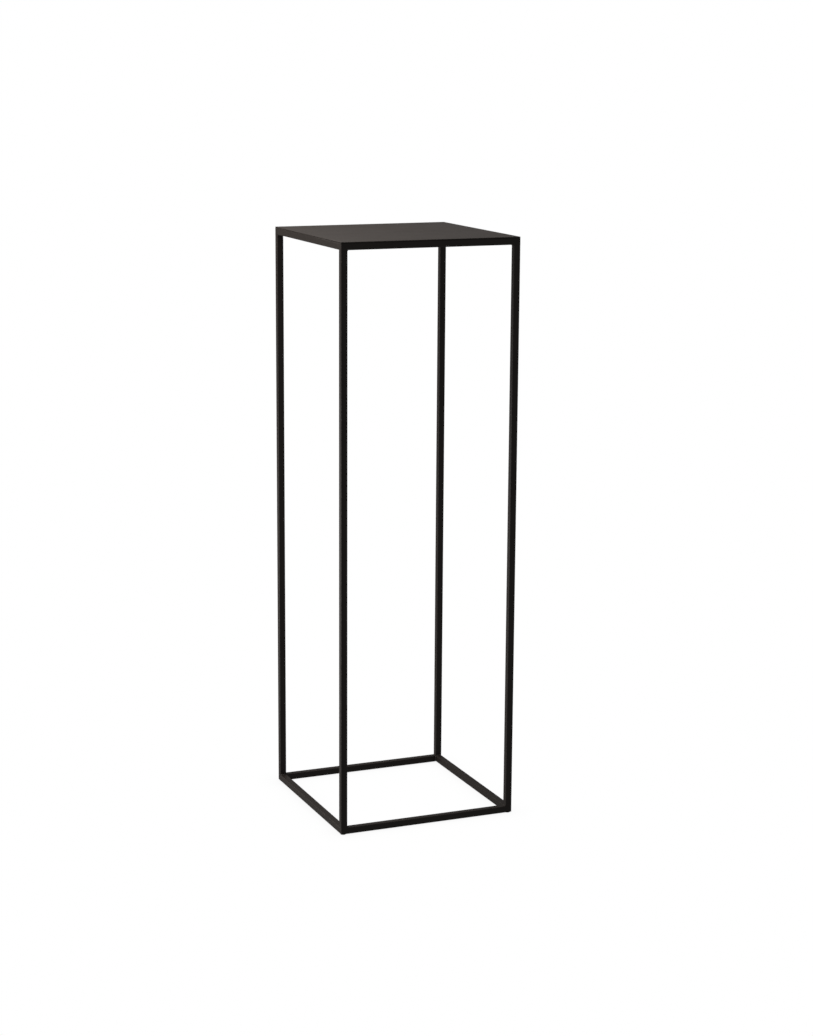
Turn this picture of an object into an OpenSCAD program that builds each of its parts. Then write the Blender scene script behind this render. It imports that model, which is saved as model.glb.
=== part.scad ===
// Display plinth: an open box frame of welded square steel tube, with a thin steel sheet as its top.
// X runs across the front, Y from front to back and Z up. The origin is on the floor, under the centre.

/* [Overall] */
// Width across the front, over the frame tubes
width = 340; // [200:1:600]
// Depth from front to back, over the frame tubes
depth = 340; // [200:1:600]
// Height from the floor to the display surface
height = 1070; // [300:5:1400]

/* [Frame tube] */
// Outside size of the square tube
tube = 12; // [8:0.5:30]
// Wall thickness of the tube
tube_wall = 1; // [0.8:0.1:2]
// Radius rolled on the tube's outside corners
tube_radius = 1.2; // [0.5:0.1:2]

/* [Top sheet] */
// Thickness of the top sheet
sheet_thickness = 2; // [1:0.5:6]

/* [Welds] */
// Radius of the fillet beads where legs and rails meet
joint_bead = 2; // [1:0.1:3]
// Radius of the stitch beads under the sheet
stitch_bead = 2; // [1:0.1:3]
// Length of each stitch under the sheet
stitch_length = 20; // [8:1:25]
// Number of stitches along each side of the sheet
stitches = 3; // [1:1:4]

/* [Vent holes] */
// Diameter of the vent holes that let air out of the tubes as the coating is baked
vent_diameter = 3; // [2:0.5:4]
// Distance from an inside corner of the bottom frame to the nearest vent hole in its underside
vent_offset = 20; // [5:1:60]

/* [Floor pads] */
// Thickness of the floor pads
pad_thickness = 1; // [0.5:0.5:5]
// Distance from the tube's faces in to the pad's edge
pad_inset = 1; // [0.5:0.1:2]

/* [Hidden] */
$fn = 48;

COATED = "#2b2725";
BEAD = "#332e2b";
PAD = "#1c1c1c";

// Square tube
bore = tube - 2 * tube_wall;
bore_radius = max(tube_radius - tube_wall, 0);
flat = tube - 2 * tube_radius;

// Levels, from the floor up
bottom_frame_z = pad_thickness;
leg_foot_z = bottom_frame_z + tube;
sheet_z = height - sheet_thickness;
top_frame_z = sheet_z - tube;
leg_length = top_frame_z - leg_foot_z;

// Centres of the legs, which stand on the corners of the frames
leg_x = (width - tube) / 2;
leg_y = (depth - tube) / 2;

// Inside of the frames
inner_x = width / 2 - tube;
inner_y = depth / 2 - tube;

// A cut runs this far past the metal that it goes through
cut_over = 1;

// A rectangle on the origin with round corners, or square ones at a radius of 0
module rounded_rectangle(size, radius) {
    if (radius > 0) {
        square([size.x, size.y - 2 * radius], center = true);
        square([size.x - 2 * radius, size.y], center = true);
        for (side_x = [-1, 1], side_y = [-1, 1])
            translate([side_x * (size.x / 2 - radius), side_y * (size.y / 2 - radius)])
                circle(radius);
    } else {
        square(size, center = true);
    }
}

// Cross-section of the square tube
module tube_section() {
    difference() {
        rounded_rectangle([tube, tube], tube_radius);
        rounded_rectangle([bore, bore], bore_radius);
    }
}

// A leg, cut square at both ends, standing on a corner of the bottom frame
module leg(side_x, side_y) {
    color(COATED)
        translate([side_x * leg_x, side_y * leg_y, leg_foot_z])
            linear_extrude(leg_length)
                tube_section();
}

// Plan of a rail that lies along X with its outer face towards -Y.
// Its ends are mitred, and the outer corners of the frame are ground to the tube's own radius.
module mitred_plan(length, across) {
    intersection() {
        polygon([
            [-length / 2, -tube / 2],
            [length / 2, -tube / 2],
            [length / 2 - tube, tube / 2],
            [tube - length / 2, tube / 2]
        ]);
        translate([0, (across - tube) / 2])
            rounded_rectangle([length, across], tube_radius);
    }
}

// A rail of a frame, turned to its side, with holes at its ends that open into the legs' bores.
// Leg_side is 1 where the legs stand on it and -1 where they hang below it.
module rail(turn, length, across, bottom, leg_side) {
    rotate(turn)
        translate([0, (tube - across) / 2, bottom + tube / 2])
            difference() {
                intersection() {
                    rotate([0, 90, 0])
                        linear_extrude(length, center = true)
                            tube_section();
                    linear_extrude(tube + 2 * cut_over, center = true)
                        mitred_plan(length, across);
                }
                for (end = [-1, 1])
                    translate([end * (length - tube) / 2, 0, leg_side * (tube + cut_over) / 2])
                        cylinder(d = vent_diameter, h = tube + cut_over, center = true);
            }
}

// A bottom rail. A vented one has a hole through its underside near each end.
module bottom_rail(turn, length, across, vented = false) {
    color(COATED)
        difference() {
            rail(turn, length, across, bottom_frame_z, 1);
            if (vented)
                rotate(turn)
                    for (end = [-1, 1])
                        translate([
                            end * (length / 2 - tube - vent_offset),
                            (tube - across) / 2,
                            bottom_frame_z - cut_over
                        ])
                            cylinder(d = vent_diameter, h = cut_over + tube / 2);
        }
}

module top_rail(turn, length, across) {
    color(COATED)
        rail(turn, length, across, top_frame_z, -1);
}

// The sheet covers the top frame and is flush with its outer faces
module top_sheet() {
    color(COATED)
        translate([0, 0, sheet_z])
            linear_extrude(sheet_thickness)
                rounded_rectangle([width, depth], tube_radius);
}

// A fillet bead's quarter-round section, in the corner between two faces that meet at the origin
module bead_section(radius) {
    intersection() {
        circle(radius);
        square(radius);
    }
}

// A fillet bead, centred along X, in the corner between a face at y = 0 and a face at z = 0
module fillet_bead(radius, length) {
    rotate([90, 0, 90])
        linear_extrude(length, center = true)
            bead_section(radius);
}

// Weld metal, centred along X, that fills the groove over a rail's rounded edge and is ground flush.
// The edge's centre line is the X axis, its outer face is towards +Y and its top towards +Z.
module groove_fill(length) {
    rotate([90, 0, 90])
        linear_extrude(length, center = true)
            difference() {
                square(tube_radius);
                circle(tube_radius);
            }
}

// The welds of one leg end: a fillet bead on each rail, in the corners that face into the frame,
// and a flush fill on each outer face. Up is 1 where the leg stands on the rails, -1 where it hangs below.
module leg_end_welds(side_x, side_y, level, up) {
    edge_z = level - up * tube_radius;
    translate([side_x * leg_x, side_y * inner_y, level])
        scale([1, -side_y, up])
            fillet_bead(joint_bead, flat);
    translate([side_x * inner_x, side_y * leg_y, level])
        scale([-side_x, 1, up])
            rotate(-90)
                fillet_bead(joint_bead, flat);
    translate([side_x * leg_x, side_y * (depth / 2 - tube_radius), edge_z])
        scale([1, side_y, up])
            groove_fill(flat);
    translate([side_x * (width / 2 - tube_radius), side_y * leg_y, edge_z])
        scale([side_x, 1, up])
            rotate(-90)
                groove_fill(flat);
}

module leg_foot_welds() {
    color(BEAD)
        for (side_x = [-1, 1], side_y = [-1, 1])
            leg_end_welds(side_x, side_y, leg_foot_z, 1);
}

module leg_head_welds() {
    color(BEAD)
        for (side_x = [-1, 1], side_y = [-1, 1])
            leg_end_welds(side_x, side_y, top_frame_z, -1);
}

// Upright beads in the four inside corners of a frame
module mitre_beads(bottom) {
    color(BEAD)
        for (side_x = [-1, 1], side_y = [-1, 1])
            translate([side_x * inner_x, side_y * inner_y, bottom + tube / 2])
                scale([-side_x, -side_y, 1])
                    linear_extrude(flat, center = true)
                        bead_section(joint_bead);
}

// Stitches along one side of the sheet, spread evenly between the corners
module side_stitches(turn, inner_length, inner_across) {
    pitch = inner_length / stitches;
    rotate(turn)
        for (i = [0 : stitches - 1])
            translate([(i + 0.5) * pitch - inner_length / 2, -inner_across / 2, sheet_z])
                scale([1, 1, -1])
                    fillet_bead(stitch_bead, stitch_length);
}

module sheet_stitch_welds() {
    color(BEAD) {
        side_stitches(0, 2 * inner_x, 2 * inner_y);
        side_stitches(90, 2 * inner_y, 2 * inner_x);
        side_stitches(180, 2 * inner_x, 2 * inner_y);
        side_stitches(270, 2 * inner_y, 2 * inner_x);
    }
}

// A pad under a corner of the bottom frame
module floor_pad(side_x, side_y) {
    color(PAD)
        translate([side_x * leg_x, side_y * leg_y, 0])
            cylinder(d = tube - 2 * pad_inset, h = pad_thickness);
}

leg(-1, -1);  // leg_front_left
leg(1, -1);  // leg_front_right
leg(-1, 1);  // leg_back_left
leg(1, 1);  // leg_back_right
bottom_rail(0, width, depth, vented = true);  // bottom_rail_front
bottom_rail(180, width, depth, vented = true);  // bottom_rail_back
bottom_rail(270, depth, width);  // bottom_rail_left
bottom_rail(90, depth, width);  // bottom_rail_right
top_rail(0, width, depth);  // top_rail_front
top_rail(180, width, depth);  // top_rail_back
top_rail(270, depth, width);  // top_rail_left
top_rail(90, depth, width);  // top_rail_right
top_sheet();
leg_foot_welds();
leg_head_welds();
mitre_beads(bottom_frame_z);  // bottom_mitre_welds
mitre_beads(top_frame_z);  // top_mitre_welds
sheet_stitch_welds();
floor_pad(-1, -1);  // floor_pad_front_left
floor_pad(1, -1);  // floor_pad_front_right
floor_pad(-1, 1);  // floor_pad_back_left
floor_pad(1, 1);  // floor_pad_back_right
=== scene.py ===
# %% [markdown]
# # A display plinth in matt black steel
#
# The plinth is an open box frame of 12 mm square steel tube. Four legs stand between a mitred bottom
# frame and a mitred top frame, and a 2 mm sheet lies on top, flush with the outside of the tubes. The
# joints are welded, ground smooth outside and left as beads inside, and the whole is powder coated.
#
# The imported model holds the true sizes. This script loads it, builds each visible piece again with the
# finer shapes that the eye reads up close, and gives every piece its finish.

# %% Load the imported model
import random
from math import cos, exp, hypot, pi, radians, sin, sqrt

import bmesh
import bpy
from mathutils import Matrix, Vector


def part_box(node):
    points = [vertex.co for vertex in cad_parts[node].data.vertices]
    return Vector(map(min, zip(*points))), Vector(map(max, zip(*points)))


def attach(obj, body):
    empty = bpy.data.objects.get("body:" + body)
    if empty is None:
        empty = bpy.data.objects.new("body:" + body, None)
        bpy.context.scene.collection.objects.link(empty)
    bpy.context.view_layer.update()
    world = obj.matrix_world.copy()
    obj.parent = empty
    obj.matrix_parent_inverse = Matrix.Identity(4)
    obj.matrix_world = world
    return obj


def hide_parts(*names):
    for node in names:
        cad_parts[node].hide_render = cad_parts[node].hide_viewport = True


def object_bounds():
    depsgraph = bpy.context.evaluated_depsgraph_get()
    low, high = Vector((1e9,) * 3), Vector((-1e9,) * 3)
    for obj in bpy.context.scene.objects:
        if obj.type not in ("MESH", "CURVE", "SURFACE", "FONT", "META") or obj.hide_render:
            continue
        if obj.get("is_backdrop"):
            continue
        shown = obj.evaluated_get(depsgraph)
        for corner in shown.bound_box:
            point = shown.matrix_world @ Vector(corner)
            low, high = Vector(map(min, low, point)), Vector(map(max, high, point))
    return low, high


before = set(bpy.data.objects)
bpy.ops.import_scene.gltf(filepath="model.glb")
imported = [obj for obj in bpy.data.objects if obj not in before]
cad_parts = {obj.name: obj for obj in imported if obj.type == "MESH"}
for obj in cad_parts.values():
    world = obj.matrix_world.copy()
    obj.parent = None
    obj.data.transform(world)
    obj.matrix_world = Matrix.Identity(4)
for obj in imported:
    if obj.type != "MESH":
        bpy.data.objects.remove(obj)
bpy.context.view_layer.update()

# %% [markdown]
# ## Sizes read from the model
#
# Nothing is typed in twice: the tube, the sheet, the pads and the levels of the joints are read from the
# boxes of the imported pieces. What a box can't tell, such as the radius rolled on a tube's corners, is a
# named value in the cell that first needs it.

# %% Read the sizes
MM = 0.001

leg_low, leg_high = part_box("leg_front_left")
sheet_low, sheet_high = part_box("top_sheet")

tube = leg_high.x - leg_low.x
half_width, half_depth = sheet_high.x, sheet_high.y
leg_x, leg_y = half_width - tube / 2, half_depth - tube / 2
inner_x, inner_y = half_width - tube, half_depth - tube
foot_level, head_level = leg_low.z, leg_high.z
SIDES = {"left": -1, "right": 1, "front": -1, "back": 1}

print("Tube, mm:", round(tube / MM, 2), "Legs from", round(foot_level, 4), "to", round(head_level, 4), "m")

# %% [markdown]
# ## The coating
#
# Real finish: matt black polyester powder coat. A dry powder is sprayed on the earthed steel and baked at
# about 190 degrees, where it melts and flows into a film 0.08 mm thick. It never flows out quite flat:
# close up it shows a fine grain of under a millimetre and a softer orange peel of a few millimetres, and
# over tens of millimetres its gloss drifts a little with the film's thickness.
#
# It could be made as one flat black, but then the top, which is seen almost edge on, would look like
# paper. So the grain and the peel bend the light through a bump, the grain and slow clouds vary the
# colour, and slower clouds vary the roughness. The black is a warm one, as black pigment in polyester
# often is.
#
# Cured polyester has an IOR of about 1.5. Real grain is about 0.4 mm. It is drawn twice as coarse, so that
# it still shows in a close view. From further away it only softens the gloss.

# %% Helpers for materials
def linear(hex_colour):
    """An sRGB hex colour as linear red, green, blue and alpha."""
    values = [int(hex_colour[i:i + 2], 16) / 255 for i in (1, 3, 5)]
    return (*[v / 12.92 if v <= 0.04045 else ((v + 0.055) / 1.055) ** 2.4 for v in values], 1)


def add(tree, kind, inputs, **settings):
    """Adds one node. Each input is a plain value or another node's output."""
    node = tree.nodes.new("ShaderNode" + kind)
    for name, value in settings.items():
        setattr(node, name, value)
    for name, value in inputs.items():
        if isinstance(value, bpy.types.NodeSocket):
            tree.links.new(value, node.inputs[name])
        else:
            node.inputs[name].default_value = value
    return node


# %% Powder coat
GRAIN = 0.8 * MM
PEEL = 3 * MM
CLOUD = 45 * MM
DRIFT = 2.5 * CLOUD
GRAIN_IN_COLOUR = 0.4
PEEL_IN_RELIEF = 0.35
GLOSS_DRIFT = 0.04
COAT_IOR = 1.5
COAT_SPECULAR_LEVEL = 0.3


def powder_coat(name, thin, thick, roughness, relief):
    """Matt polyester powder coat, between two near blacks, with a relief of that height."""
    material = bpy.data.materials.new(name)
    material.use_nodes = True
    tree = material.node_tree
    place = add(tree, "TexCoord", {}).outputs["Object"]
    cloud = add(tree, "TexNoise", {"Vector": place, "Scale": 1 / CLOUD, "Detail": 3.0})
    drift = add(tree, "TexNoise", {"Vector": place, "Scale": 1 / DRIFT, "Detail": 2.0})
    grain = add(tree, "TexNoise", {"Vector": place, "Scale": 1 / GRAIN, "Detail": 2.0})
    peel = add(tree, "TexNoise", {"Vector": place, "Scale": 1 / PEEL, "Detail": 1.0})
    shade = add(
        tree, "Mix", {"Factor": GRAIN_IN_COLOUR, "A": cloud.outputs["Fac"], "B": grain.outputs["Fac"]}
    )
    tint = add(
        tree, "Mix", {"Factor": shade.outputs["Result"], "A": linear(thin), "B": linear(thick)},
        data_type="RGBA",
    )
    gloss = add(
        tree,
        "MapRange",
        {"Value": drift.outputs["Fac"], "From Min": 0.3, "From Max": 0.7,
         "To Min": roughness - GLOSS_DRIFT, "To Max": roughness + GLOSS_DRIFT},
    )
    height = add(
        tree, "Mix", {"Factor": PEEL_IN_RELIEF, "A": grain.outputs["Fac"], "B": peel.outputs["Fac"]}
    )
    bump = add(tree, "Bump", {"Height": height.outputs["Result"], "Strength": 1.0, "Distance": relief})
    shader = tree.nodes["Principled BSDF"]
    shader.inputs["IOR"].default_value = COAT_IOR
    shader.inputs["Specular IOR Level"].default_value = COAT_SPECULAR_LEVEL
    tree.links.new(tint.outputs["Result"], shader.inputs["Base Color"])
    tree.links.new(gloss.outputs["Result"], shader.inputs["Roughness"])
    tree.links.new(bump.outputs["Normal"], shader.inputs["Normal"])
    return material


coat_on_tube = powder_coat("powder_coat_on_drawn_tube", "#2d2723", "#1e1916", 0.5, 0.15 * MM)
coat_on_sheet = powder_coat("powder_coat_on_rolled_sheet", "#2e2824", "#201b18", 0.48, 0.12 * MM)
coat_on_weld = powder_coat("powder_coat_on_weld_bead", "#2e2723", "#1d1815", 0.42, 0.08 * MM)
print("Coats:", [m.name for m in (coat_on_tube, coat_on_sheet, coat_on_weld)])

# %% [markdown]
# ## The floor pads' rubber
#
# Real finish: die-cut EPDM foam rubber, cut from sheet and stuck on. It gives the eye a dull, slightly
# grey black with tiny open cells and hardly any gloss. A fine cellular pattern moves the relief, and it
# paints the cells' hollows darker, which is painted shade. Real cells are near 0.2 mm, and they are drawn
# a little coarser so that they show.

# %% Pad rubber
CELL = 0.35 * MM
CELL_DEPTH = 0.04 * MM
RUBBER_ROUGHNESS = 0.85
RUBBER_IOR = 1.52


def cut_rubber(name, skin, shaded_pores):
    """Die-cut foam rubber with small open cells, their hollows painted darker as painted shade."""
    material = bpy.data.materials.new(name)
    material.use_nodes = True
    tree = material.node_tree
    place = add(tree, "TexCoord", {}).outputs["Object"]
    cells = add(tree, "TexVoronoi", {"Vector": place, "Scale": 1 / CELL})
    # The cells' hollows get the darker colour: painted shade where the relief is lowest.
    tint = add(
        tree, "Mix", {"Factor": cells.outputs["Distance"], "A": linear(shaded_pores), "B": linear(skin)},
        data_type="RGBA",
    )
    bump = add(
        tree, "Bump", {"Height": cells.outputs["Distance"], "Strength": 0.6, "Distance": CELL_DEPTH}
    )
    shader = tree.nodes["Principled BSDF"]
    shader.inputs["Roughness"].default_value = RUBBER_ROUGHNESS
    shader.inputs["IOR"].default_value = RUBBER_IOR
    tree.links.new(tint.outputs["Result"], shader.inputs["Base Color"])
    tree.links.new(bump.outputs["Normal"], shader.inputs["Normal"])
    return material


pad_rubber = cut_rubber("die_cut_foam_rubber", "#222120", "#0e0e0e")
print("Rubber:", pad_rubber.name)

# %% [markdown]
# ## Building meshes by lofting
#
# Almost every piece here is a loft: a row of cross-sections, joined ring to ring by four-sided faces. A
# tube could also come from a curve with a bevel profile, but a loft gives full control of the mitred
# ends, the rolled corners and the ripples of the weld beads, and it always gives a closed mesh.
#
# When the last ring joins the first, the loft is a closed loop, which is how a hollow tube is made: the
# outer skin runs one way and the bore runs back. Otherwise each end gets a flat cap.

# %% Helpers that make a piece
SHARP_ANGLE = radians(40)


def loft(rings, looped=False):
    """Points and faces of a skin over rings that all hold equally many points."""
    count = len(rings[0])
    points = [point for ring in rings for point in ring]
    last = len(rings) if looped else len(rings) - 1
    faces = []
    for i in range(last):
        a, b = i * count, (i + 1) % len(rings) * count
        faces += [(a + k, a + (k + 1) % count, b + (k + 1) % count, b + k) for k in range(count)]
    if not looped:
        faces.append(tuple(range(count)))
        faces.append(tuple(range(len(points) - count, len(points))))
    return points, faces


def joined(shapes):
    """Several shapes as one."""
    points, faces = [], []
    for shape_points, shape_faces in shapes:
        faces += [tuple(i + len(points) for i in face) for face in shape_faces]
        points += shape_points
    return points, faces


def make_piece(name, shape, material, node):
    """A finished piece that stands for a CAD node. Its faces are turned so that they all look outward."""
    mesh = bpy.data.meshes.new(name)
    mesh.from_pydata(shape[0], [], shape[1])
    held = bmesh.new()
    held.from_mesh(mesh)
    bmesh.ops.recalc_face_normals(held, faces=held.faces)
    held.to_mesh(mesh)
    held.free()
    mesh.shade_smooth()
    mesh.set_sharp_from_angle(angle=SHARP_ANGLE)
    mesh.materials.append(material)
    piece = bpy.data.objects.new(name, mesh)
    bpy.context.scene.collection.objects.link(piece)
    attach(piece, "root")
    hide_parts(node)
    return piece


# %% [markdown]
# ## Square tube
#
# Real piece: cold-formed welded tube, 12 by 12 mm with a 1 mm wall. Strip is rolled round and then
# squared, which leaves every long corner with a radius about as big as the wall. That soft corner is
# what catches the thin bright line along each leg, so it has to be in the mesh.
#
# One function makes the section. Each flat gets an extra point close to each end, so that the smooth
# shading of the corner stays at the corner and the flat stays flat.

# %% Section of the tube
WALL = 1 * MM
ROLLED_RADIUS = 1.2 * MM
BORE_RADIUS = 0.3 * MM
CORNER_STEPS = 6
FLAT_GUARD = 0.4 * MM


def rounded_rectangle(half_x, half_y, radius):
    """Points round a rectangle with round corners, in order."""
    points = []
    for turn, (side_x, side_y) in enumerate([(1, 1), (-1, 1), (-1, -1), (1, -1)]):
        centre_x, centre_y = side_x * (half_x - radius), side_y * (half_y - radius)
        start = turn * pi / 2
        along = (-sin(start), cos(start))
        arc = [
            (centre_x + radius * cos(start + i / CORNER_STEPS * pi / 2),
             centre_y + radius * sin(start + i / CORNER_STEPS * pi / 2))
            for i in range(CORNER_STEPS + 1)
        ]
        before = (arc[0][0] - along[0] * FLAT_GUARD, arc[0][1] - along[1] * FLAT_GUARD)
        after = (arc[-1][0] - along[1] * FLAT_GUARD, arc[-1][1] + along[0] * FLAT_GUARD)
        points += [before, *arc, after]
    return points


outside = rounded_rectangle(tube / 2, tube / 2, ROLLED_RADIUS)
bore = rounded_rectangle(tube / 2 - WALL, tube / 2 - WALL, BORE_RADIUS)
print("Points round the section:", len(outside))

# %% [markdown]
# ## Lengths of tube, cut square or mitred
#
# Real pieces: the legs are sawn square and the rails are mitred at 45 degrees. After welding, the outside
# of every joint is taken down with a flap disc, which leaves the metal a few hundredths of a millimetre
# low and rounds the frame's outer corner.
#
# The rings stand close together near each end and far apart in the middle, where nothing changes. At a
# mitre each ring leans over until it lies on the cut, and the lean dies away along the tube.

# %% Tube builder
END_STEP = 0.2 * MM
END_GROWTH = 1.3
END_RINGS = 15
GRIND_DEPTH = 0.07 * MM
GRIND_LENGTH = 7 * MM

end_distances = [END_STEP * (END_GROWTH ** i - 1) / (END_GROWTH - 1) for i in range(END_RINGS)]


def tube_skin(section, length, mitred, grind):
    """Rings of a tube along X. Its outer face looks to -Y, and a mitred end is longest there."""
    rings = []
    stations = [(-1, d) for d in end_distances] + [(1, d) for d in reversed(end_distances)]
    for end, distance in stations:
        lean = 1 - distance / end_distances[-1] if mitred else 0
        low = grind * exp(-((distance / GRIND_LENGTH) ** 2))
        shrink = 1 - low / (tube / 2)
        rings.append([
            (end * (length / 2 - distance - lean * (y + tube / 2)), y * shrink, z * shrink)
            for y, z in section
        ])
    return rings


def hollow_tube(length, mitred):
    """A closed mesh of a tube with its bore."""
    skin = tube_skin(outside, length, mitred, GRIND_DEPTH)
    inside = tube_skin(bore, length, mitred, 0)
    return loft(skin + inside[::-1], looped=True)


print("Rings near each end, mm:", [round(d / MM, 2) for d in end_distances])

# %% [markdown]
# ## The four legs
#
# Real pieces: four straight tubes that carry the top frame. They stand on the mitres of the bottom frame,
# one in each corner, with their outer faces in line with the rails'.

# %% Legs
for x_name, y_name in [("left", "front"), ("right", "front"), ("left", "back"), ("right", "back")]:
    points, faces = hollow_tube(head_level - foot_level, mitred=False)
    centre = Vector((SIDES[x_name] * leg_x, SIDES[y_name] * leg_y, (head_level + foot_level) / 2))
    points = [centre + Vector((y, z, x)) for x, y, z in points]
    node = f"leg_{y_name}_{x_name}"
    leg = make_piece("coated_" + node, (points, faces), coat_on_tube, node)
    print(leg.name, "faces:", len(leg.data.polygons))

# %% [markdown]
# ## The eight rails
#
# Real pieces: two identical mitred frames, one on the floor and one under the sheet. Each rail is made
# along X and turned to its side of the frame. Its points near the outer corner are then drawn in to a
# radius of about a millimetre, which is what the flap disc does to the sharp edge of a mitre.
#
# The front and back bottom rails have small vent holes in their undersides. Air and water have to get
# out of closed tubes in the oven, and out of sight is where a maker drills them. They are cut with a
# boolean, which is the simplest way to put a clean round hole through one wall.

# %% Rails
VENT_DIAMETER = 3 * MM
VENT_OFFSET = 20 * MM
HOLE_SIDES = 40


def ground_corner(point, radius=ROLLED_RADIUS):
    """Draws a point outside the frame's rounded outline in to it."""
    x, y, z = point
    over_x, over_y = abs(x) - (half_width - radius), abs(y) - (half_depth - radius)
    if over_x <= 0 or over_y <= 0 or hypot(over_x, over_y) <= radius:
        return point
    pull = radius / hypot(over_x, over_y)
    x_in, y_in = half_width - radius + over_x * pull, half_depth - radius + over_y * pull
    return Vector((x_in if x > 0 else -x_in, y_in if y > 0 else -y_in, z))


def drill(piece, centres, diameter, depth):
    """Cuts upright round holes, each centred on one of the centres."""
    cutter_mesh = bpy.data.meshes.new("drill")
    held = bmesh.new()
    for centre in centres:
        bmesh.ops.create_cone(
            held, cap_ends=True, segments=HOLE_SIDES, radius1=diameter / 2, radius2=diameter / 2,
            depth=depth, matrix=Matrix.Translation(centre),
        )
    held.to_mesh(cutter_mesh)
    held.free()
    cutter = bpy.data.objects.new("drill", cutter_mesh)
    bpy.context.scene.collection.objects.link(cutter)
    cut = piece.modifiers.new("vent_holes", "BOOLEAN")
    cut.operation, cut.solver, cut.object = "DIFFERENCE", "EXACT", cutter
    graph = bpy.context.evaluated_depsgraph_get()
    drilled = bpy.data.meshes.new_from_object(piece.evaluated_get(graph), depsgraph=graph)
    piece.modifiers.remove(cut)
    piece.data = drilled
    drilled.set_sharp_from_angle(angle=SHARP_ANGLE)
    bpy.data.objects.remove(cutter)
    bpy.data.meshes.remove(cutter_mesh)


TURNS = {"front": 0, "right": 90, "back": 180, "left": 270}
for frame_name in ("bottom", "top"):
    rail_low, rail_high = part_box(f"{frame_name}_rail_front")
    for side, turn in TURNS.items():
        across_x = side in ("front", "back")
        length, across = (half_width, half_depth) if across_x else (half_depth, half_width)
        points, faces = hollow_tube(2 * length, mitred=True)
        spin = Matrix.Rotation(radians(turn), 3, "Z")
        seat = Vector((0, tube / 2 - across, (rail_low.z + rail_high.z) / 2))
        points = [ground_corner(spin @ (seat + Vector(p))) for p in points]
        node = f"{frame_name}_rail_{side}"
        rail = make_piece("coated_" + node, (points, faces), coat_on_tube, node)
        if frame_name == "bottom" and across_x:
            vent_x = half_width - tube - VENT_OFFSET
            vents = [spin @ Vector((end * vent_x, tube / 2 - across, rail_low.z)) for end in (-1, 1)]
            drill(rail, vents, VENT_DIAMETER, tube)
        print(rail.name, "faces:", len(rail.data.polygons))

# %% [markdown]
# ## The top sheet
#
# Real piece: 2 mm cold-rolled steel, cut by laser and tumbled, so that its edges are broken by a few
# tenths of a millimetre. The coating rounds them a little more. It is flush with the tubes, but the tubes'
# corners are rolled, so a thin dark groove runs all round under the sheet's edge.
#
# It is lofted up through its thickness: the outline shrinks by a quarter circle at the bottom edge and
# again at the top. One more ring just inside each face keeps the shading of the face flat.

# %% Top sheet
EDGE_BREAK = 0.35 * MM
EDGE_STEPS = 4
FACE_GUARD = 1.2 * MM

edge = [
    (EDGE_BREAK * (1 - sin(i / EDGE_STEPS * pi / 2)), EDGE_BREAK * (1 - cos(i / EDGE_STEPS * pi / 2)))
    for i in range(EDGE_STEPS + 1)
]
profile = [(FACE_GUARD, sheet_low.z)]
profile += [(inset, sheet_low.z + rise) for inset, rise in edge]
profile += [(inset, sheet_high.z - rise) for inset, rise in reversed(edge)]
profile += [(FACE_GUARD, sheet_high.z)]
rings = [
    [(x, y, z) for x, y in rounded_rectangle(half_width - inset, half_depth - inset, ROLLED_RADIUS)]
    for inset, z in profile
]
sheet = make_piece("coated_top_sheet", loft(rings), coat_on_sheet, "top_sheet")
print(sheet.name, "faces:", len(sheet.data.polygons))

# %% [markdown]
# ## Weld beads
#
# Real pieces: short fillet welds in the corners that face into the frame, where no disc can reach, and
# stitches under the sheet. A bead is laid drop by drop, so its surface has crescent ripples a little over
# a millimetre apart, bowed towards the side that the welder came from, and its ends are round.
#
# A bead is lofted along its corner. Its radius swells with each ripple, and the ripple's phase changes
# across the bead, which bows it. Hand work is never even, so each bead's size and start vary a little,
# from a seeded generator that gives the same beads on every run.

# %% Bead builder
RIPPLE_PITCH = 1.3 * MM
RIPPLE = 0.055
RIPPLE_BOW = 1.1
RING_SPACING = RIPPLE_PITCH / 7
BEAD_STEPS = 9
ROOT = 0.25 * MM
TIP = 0.06
FLATTENING = 0.1
RADIUS_SPREAD = (0.93, 1.02)
LENGTH_SPREAD = (0.94, 1.0)

hand = random.Random(7)


def bead(length, radius, place):
    """A fillet bead along X, in the corner between the planes y = 0 and z = 0, put in place."""
    radius *= hand.uniform(*RADIUS_SPREAD)
    length *= hand.uniform(*LENGTH_SPREAD)
    start = hand.uniform(0, 2 * pi)
    count = round(length / RING_SPACING)
    rings = []
    for i in range(count + 1):
        x = length * (i / count - 0.5)
        from_end = min(x + length / 2, length / 2 - x)
        roundness = sqrt(1 - (1 - min(from_end / radius, 1)) ** 2)
        size = radius * max(roundness, TIP)
        ring = [place(x, -ROOT, -ROOT), place(x, size, -ROOT)]
        for k in range(BEAD_STEPS + 1):
            angle = k / BEAD_STEPS * pi / 2
            wave = cos(2 * pi * x / RIPPLE_PITCH + start + RIPPLE_BOW * sin(2 * angle))
            reach = size * (1 + RIPPLE * wave - FLATTENING * sin(2 * angle))
            ring.append(place(x, reach * cos(angle), reach * sin(angle)))
        ring.append(place(x, -ROOT, size))
        rings.append(ring)
    return loft(rings)


print("Ripples every", round(RIPPLE_PITCH / MM, 2), "mm")

# %% [markdown]
# ## Ground welds round the outside of each leg end
#
# The rails' rolled edges leave a groove under each leg end. The welder fills it and grinds it flush, so
# from outside the joint is only a faint, slightly wavy band under the coating. It is one strip that
# wraps round the leg's two outer faces, thin at its rims and fading out at both ends. Its section is given
# in millimetres, as how far out of the tubes' faces and how far up from the joint.

# %% Ground weld builder
STRIP_STEP = 0.5 * MM
STRIP_FADE = 2 * MM
STRIP_SINK = 0.3 * MM
STRIP_SECTION = [
    (-0.6, 1.0), (-0.05, 1.7), (0.02, 1.1), (0.04, 0.3),
    (0.04, -0.5), (0.03, -1.3), (-0.05, -2.1), (-0.6, -1.2),
]
DISC_WAVE = 0.02 * MM
DISC_WAVELENGTH = 3.1 * MM


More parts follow.
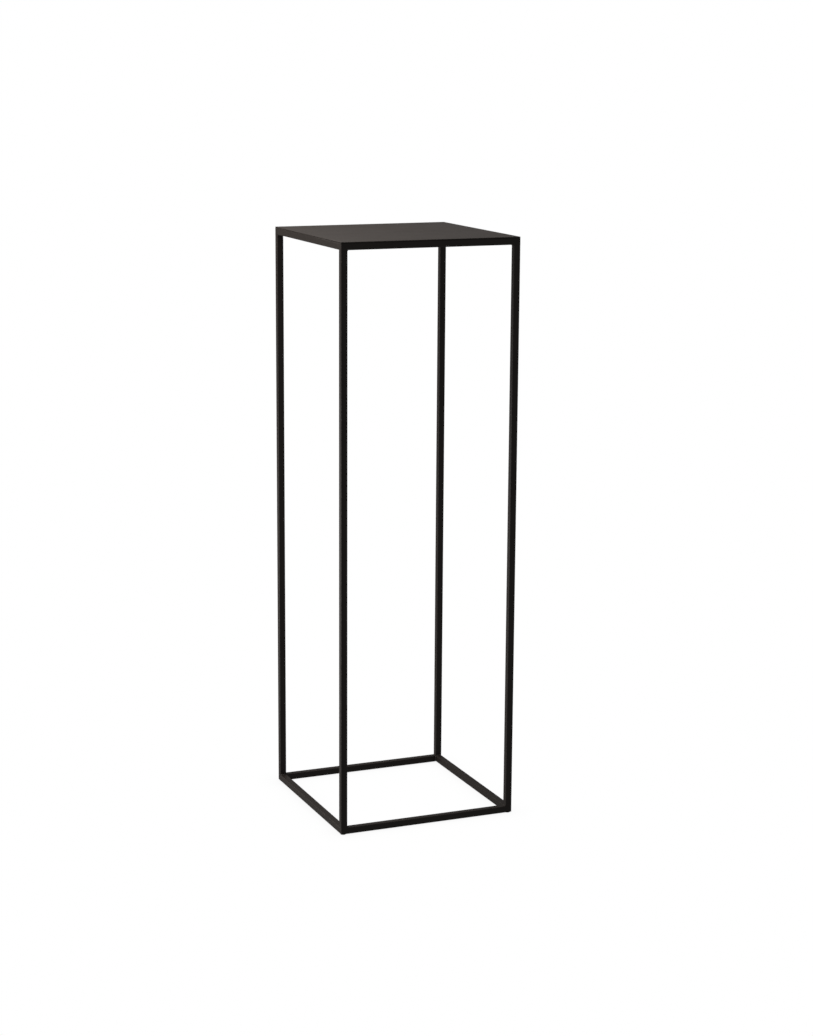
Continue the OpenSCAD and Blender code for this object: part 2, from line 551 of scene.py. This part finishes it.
def outer_path():
    """Points round a leg's two outer faces in the +X +Y corner, each with its outward direction."""
    straight = tube - 2 * ROLLED_RADIUS
    count = round(straight / STRIP_STEP)
    start_x, start_y = half_width - tube + ROLLED_RADIUS, half_depth - tube + ROLLED_RADIUS
    path = [((start_x + straight * i / count, half_depth), (0, 1)) for i in range(count + 1)]
    for i in range(1, CORNER_STEPS):
        angle = pi / 2 * (1 - i / CORNER_STEPS)
        out = (cos(angle), sin(angle))
        centre = (half_width - ROLLED_RADIUS, half_depth - ROLLED_RADIUS)
        path.append(((centre[0] + ROLLED_RADIUS * out[0], centre[1] + ROLLED_RADIUS * out[1]), out))
    path += [((half_width, start_y + straight * (1 - i / count)), (1, 0)) for i in range(count + 1)]
    return path


def ground_weld(side_x, side_y, level, up):
    """The strip at one leg end. Up is 1 at the foot and -1 at the head."""
    path = outer_path()
    start = hand.uniform(0, 2 * pi)
    rings, travelled = [], 0
    total = sum(hypot(b[0][0] - a[0][0], b[0][1] - a[0][1]) for a, b in zip(path, path[1:]))
    for i, ((x, y), (out_x, out_y)) in enumerate(path):
        if i:
            travelled += hypot(x - path[i - 1][0][0], y - path[i - 1][0][1])
        from_end = min(travelled, total - travelled)
        sunk = STRIP_SINK * max(0, 1 - from_end / STRIP_FADE) ** 2
        wave = DISC_WAVE * sin(2 * pi * travelled / DISC_WAVELENGTH + start)
        ring = []
        for out, rise in STRIP_SECTION:
            push = out * MM + wave * (out > 0) - sunk
            ring.append((
                side_x * (x + out_x * push),
                side_y * (y + out_y * push),
                level + up * rise * MM,
            ))
        rings.append(ring)
    return loft(rings)


print("Strip stations:", len(outer_path()))

# %% [markdown]
# ## Welds at the leg ends, in the mitres and under the sheet
#
# Each group of welds is one piece made of separate beads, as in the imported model. A bead is built along X
# and put in place by a small function that says where its length and its two legs point.

# %% Place the welds
JOINT_BEAD = 2 * MM
STITCH_BEAD = 2 * MM
STITCH_LENGTH = 20 * MM
STITCHES = 3
CORNERS = [(x, y) for x in (-1, 1) for y in (-1, 1)]
flat = tube - 2 * ROLLED_RADIUS


def leg_end_welds(level, up):
    """Two fillet beads and one ground strip at each of the four leg ends on a level."""
    shapes = []
    for side_x, side_y in CORNERS:
        shapes.append(bead(flat, JOINT_BEAD, lambda x, y, z: (
            side_x * leg_x + x, side_y * (inner_y - y), level + up * z)))
        shapes.append(bead(flat, JOINT_BEAD, lambda x, y, z: (
            side_x * (inner_x - y), side_y * leg_y + x, level + up * z)))
        shapes.append(ground_weld(side_x, side_y, level, up))
    return joined(shapes)


def mitre_welds(middle):
    """An upright bead in each inside corner of a frame."""
    return joined([
        bead(flat, JOINT_BEAD, lambda x, y, z: (side_x * (inner_x - y), side_y * (inner_y - z), middle + x))
        for side_x, side_y in CORNERS
    ])


def stitch_welds():
    """Stitches between the sheet and the inner faces of the top rails."""
    shapes = []
    for turn in TURNS.values():
        length, across = (inner_x, inner_y) if turn % 180 == 0 else (inner_y, inner_x)
        spin = Matrix.Rotation(radians(turn), 3, "Z")
        for i in range(STITCHES):
            middle = length * (2 * (i + 0.5) / STITCHES - 1)
            shapes.append(bead(STITCH_LENGTH, STITCH_BEAD, lambda x, y, z: tuple(
                spin @ Vector((middle + x, y - across, sheet_low.z - z)))))
    return joined(shapes)


bottom_middle = (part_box("bottom_rail_front")[0].z + foot_level) / 2
top_middle = (head_level + sheet_low.z) / 2
for node, shape in {
    "leg_foot_welds": leg_end_welds(foot_level, 1),
    "leg_head_welds": leg_end_welds(head_level, -1),
    "bottom_mitre_welds": mitre_welds(bottom_middle),
    "top_mitre_welds": mitre_welds(top_middle),
    "sheet_stitch_welds": stitch_welds(),
}.items():
    piece = make_piece("coated_" + node, shape, coat_on_weld, node)
    print(piece.name, "faces:", len(piece.data.polygons))

# %% [markdown]
# ## Floor pads
#
# Real pieces: small round pads, stuck under the corners to save the floor. The cutting die presses the
# rim down, so the lower edge is softly rounded and the upper one stays crisp. Both roundings are given as
# a share of the pad's thickness.

# %% Floor pads
PAD_SIDES = 48
LOWER_ROUND = 0.3
UPPER_ROUND = 0.1
ROUND_STEPS = 4

for x_name, y_name in [("left", "front"), ("right", "front"), ("left", "back"), ("right", "back")]:
    node = f"floor_pad_{y_name}_{x_name}"
    low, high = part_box(node)
    radius = (high.x - low.x) / 2
    lower = LOWER_ROUND * (high.z - low.z)
    upper = UPPER_ROUND * (high.z - low.z)
    middle = (low + high) / 2
    profile = []
    for i in range(ROUND_STEPS + 1):
        angle = i / ROUND_STEPS * pi / 2
        profile.append((radius - lower * (1 - sin(angle)), low.z + lower * (1 - cos(angle))))
    for i in range(ROUND_STEPS + 1):
        angle = (1 - i / ROUND_STEPS) * pi / 2
        profile.append((radius - upper * (1 - sin(angle)), high.z - upper * (1 - cos(angle))))
    rings = [
        [(middle.x + r * cos(2 * pi * k / PAD_SIDES), middle.y + r * sin(2 * pi * k / PAD_SIDES), z)
         for k in range(PAD_SIDES)]
        for r, z in profile
    ]
    pad = make_piece("rubber_" + node, loft(rings), pad_rubber, node)
    print(pad.name, "faces:", len(pad.data.polygons))

# %% [markdown]
# ## The white studio
#
# The plinth stands in a plain white studio. A background this even is made with a light table: a white
# sweep that glows by itself, so the lamps throw hardly any shadow on it. Here the sweep is one surface of
# revolution, a floor that curves up into a wall and closes overhead. It glows at exactly full white. The
# camera sees it, but it is hidden from the rays that light the plinth, so black faces turned away from
# the lamps stay black.
#
# Where something comes within a few centimetres of it, the glow drops by a few percent. This is a painted
# contact shadow, taken from nearness rather than cast by the lamps, and it is what makes the plinth stand
# on the floor.

# %% Sweep
FLOOR_RADIUS = 14
SWEEP_RADIUS = 4
ROOF_HEIGHT = 14
SWEEP_SIDES = 96
SWEEP_STEPS = 12
AXIS_GAP = 0.001
CONTACT_REACH = 0.05
PAINTED_SHADOW_DEPTH = 0.12

profile = [(AXIS_GAP, 0), (FLOOR_RADIUS, 0)]
for i in range(1, SWEEP_STEPS + 1):
    angle = i / SWEEP_STEPS * pi / 2
    profile.append((FLOOR_RADIUS + SWEEP_RADIUS * sin(angle), SWEEP_RADIUS * (1 - cos(angle))))
profile += [(FLOOR_RADIUS + SWEEP_RADIUS, ROOF_HEIGHT), (AXIS_GAP, ROOF_HEIGHT)]
rings = [
    [(r * cos(2 * pi * k / SWEEP_SIDES), r * sin(2 * pi * k / SWEEP_SIDES), z) for k in range(SWEEP_SIDES)]
    for r, z in profile
]
sweep_mesh = bpy.data.meshes.new("studio_sweep")
points, faces = loft(rings)
sweep_mesh.from_pydata(points, [], faces)

glow = bpy.data.materials.new("glowing_white_acrylic")
glow.use_nodes = True
tree = glow.node_tree
tree.nodes.remove(tree.nodes["Principled BSDF"])
# Painted contact shadow: the glow is turned down where other surfaces are near, not by any lamp.
nearness = add(tree, "AmbientOcclusion", {"Distance": CONTACT_REACH})
level = add(
    tree, "MapRange", {"Value": nearness.outputs["AO"], "To Min": 1 - PAINTED_SHADOW_DEPTH, "To Max": 1.0}
)
lamp = add(tree, "Emission", {"Color": (1, 1, 1, 1), "Strength": level.outputs["Result"]})
tree.links.new(lamp.outputs["Emission"], tree.nodes["Material Output"].inputs["Surface"])
sweep_mesh.materials.append(glow)

sweep = bpy.data.objects.new("studio_sweep", sweep_mesh)
bpy.context.scene.collection.objects.link(sweep)
sweep.visible_diffuse = False
sweep.visible_glossy = False
sweep.visible_shadow = False
sweep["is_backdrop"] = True

# %% [markdown]
# ## Two soft lamps
#
# One softbox stands low, a metre to the left and a little behind. The other hangs most of a metre above
# the top, also to the left. The left faces and the tops are lit, and the front faces get only what the
# room throws back, which is little. Both lamps are near, so the light falls off towards the right. They
# are a little warm against the white of the sweep, and the camera doesn't see them.

# %% Lamps
ROOM_GLOW = 0.21
LAMP_COLOUR = (1.0, 0.95, 0.91)


def softbox(name, place, aim, size_x, size_y, power):
    """A rectangular lamp at a place, turned to a point."""
    light = bpy.data.lights.new(name, "AREA")
    light.shape = "RECTANGLE"
    light.size = size_x
    light.size_y = size_y
    light.energy = power
    light.color = LAMP_COLOUR
    box = bpy.data.objects.new(name, light)
    box.location = place
    box.rotation_euler = (Vector(place) - Vector(aim)).to_track_quat("Z", "Y").to_euler()
    box.visible_camera = False
    bpy.context.scene.collection.objects.link(box)


softbox("side_softbox", (-0.9, 0.35, 0.3), (0, 0.15, 0.2), 0.8, 0.8, 5.4)
softbox("overhead_softbox", (-0.55, 0.2, 1.85), (0, 0, 0.9), 0.8, 0.8, 22.5)

room = bpy.data.worlds.new("studio_room")
room.use_nodes = True
bpy.context.scene.world = room
walls = room.node_tree.nodes["Background"]
walls.inputs["Color"].default_value = (1, 1, 1, 1)
walls.inputs["Strength"].default_value = ROOM_GLOW
bpy.context.scene.view_settings.view_transform = "Standard"

# %% [markdown]
# ## Camera
#
# A long lens from a little above the top, turned about 22 degrees to the plinth's left. The camera aims a
# touch to one side and is rolled by a third of a degree, as a hand-levelled one is.

# %% Camera
AZIMUTH, ELEVATION, ROLL = radians(-22.38), radians(12.01), radians(0.34)
DISTANCE = 4.241
AIM_HEIGHT = 0.5407
AIM_ASIDE = 0.0234
LENS_MM = 79.41

camera = bpy.data.objects.new("camera", bpy.data.cameras.new("camera"))
bpy.context.scene.collection.objects.link(camera)
bpy.context.scene.camera = camera
camera.data.lens = LENS_MM
camera.data.clip_end = 100
upright = Vector((0, 0, 1))
back = Vector((sin(AZIMUTH) * cos(ELEVATION), -cos(AZIMUTH) * cos(ELEVATION), sin(ELEVATION)))
eye = Vector((0, 0, AIM_HEIGHT)) + DISTANCE * back
aim = Vector((0, 0, AIM_HEIGHT)) + AIM_ASIDE * upright.cross(back).normalized()
back = (eye - aim).normalized()
right = upright.cross(back).normalized()
turned = Matrix((right, back.cross(right), back)).transposed() @ Matrix.Rotation(ROLL, 3, "Z")
camera.matrix_world = Matrix.Translation(eye) @ turned.to_4x4()

# %% Measure the visual box
low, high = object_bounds()
print("Visual box, m:", [round(v, 4) for v in (*low, *high)])
